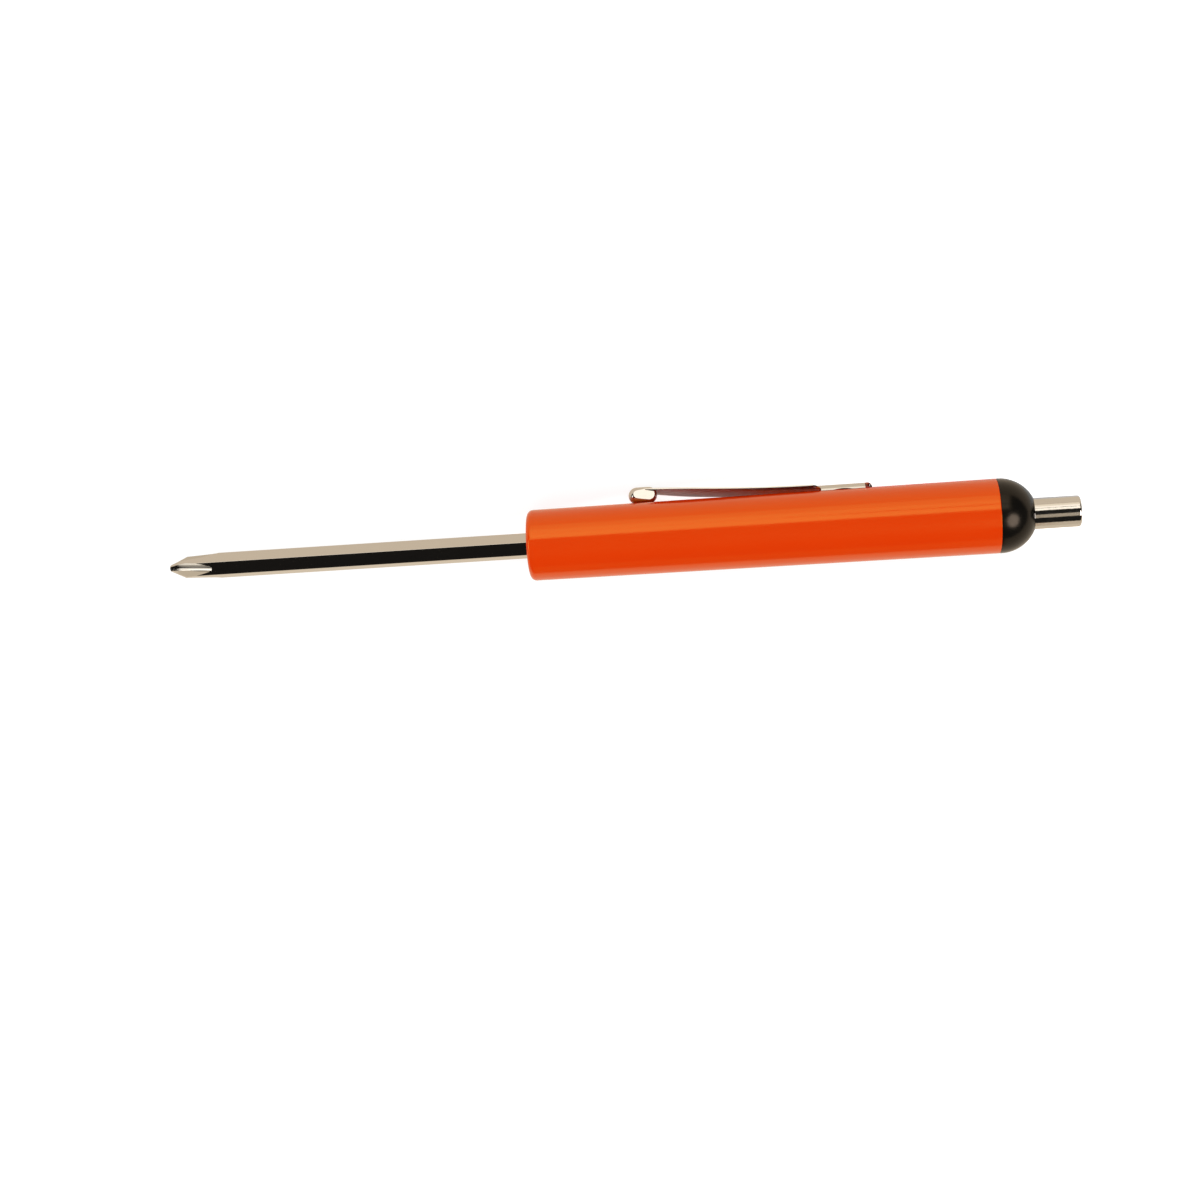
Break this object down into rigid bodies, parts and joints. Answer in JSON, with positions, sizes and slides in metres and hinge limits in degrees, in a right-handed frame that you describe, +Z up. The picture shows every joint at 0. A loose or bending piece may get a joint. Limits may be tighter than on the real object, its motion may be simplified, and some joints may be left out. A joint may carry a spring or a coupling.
{
  "type": "pocket screwdriver",
  "caption": "Pocket screwdriver: a hexagonal blade with a cross tip in a round plastic barrel, with a sprung pocket clip and a pick-up magnet on a domed end cap.",
  "frame": {"origin": "centre of the magnet's face, on the tool's axis", "axes": "+X along the tool from the magnet to the working tip, +Z up with the tool lying on a table, on the rear of the barrel and an edge of the clip's arm"},
  "size_m": [0.1595, 0.0146, 0.013],
  "materials": {
    "barrel_plastic": "glossy moulded orange",
    "cap_plastic": "satin moulded black",
    "blade_plating": "bright nickel plate",
    "clip_plating": "bright nickel plate on sheet",
    "cup_plating": "bright nickel plate",
    "magnet_alloy": "ground"
  },
  "bodies": {
    "handle": {"barrel": "barrel_plastic", "clip_saddle": "clip_plating", "end_cap": "cap_plastic", "magnet_cup": "cup_plating", "magnet": "magnet_alloy"},
    "blade": {"blade": "blade_plating"},
    "clip": {"clip_arm": "clip_plating"}
  },
  "joints": [
    {"name": "blade_pull", "type": "slide", "parent": "handle", "child": "blade", "axis": [1, 0, 0], "range_m": [0, 0.065]},
    {"name": "clip_flex", "type": "hinge", "parent": "handle", "child": "clip", "pos_m": [0.0439, -0.00592, -0.00386], "axis": [0, 0.5461, -0.8377], "range_deg": [0, 5], "stiffness_Nm_per_rad": 0.6}
  ]
}
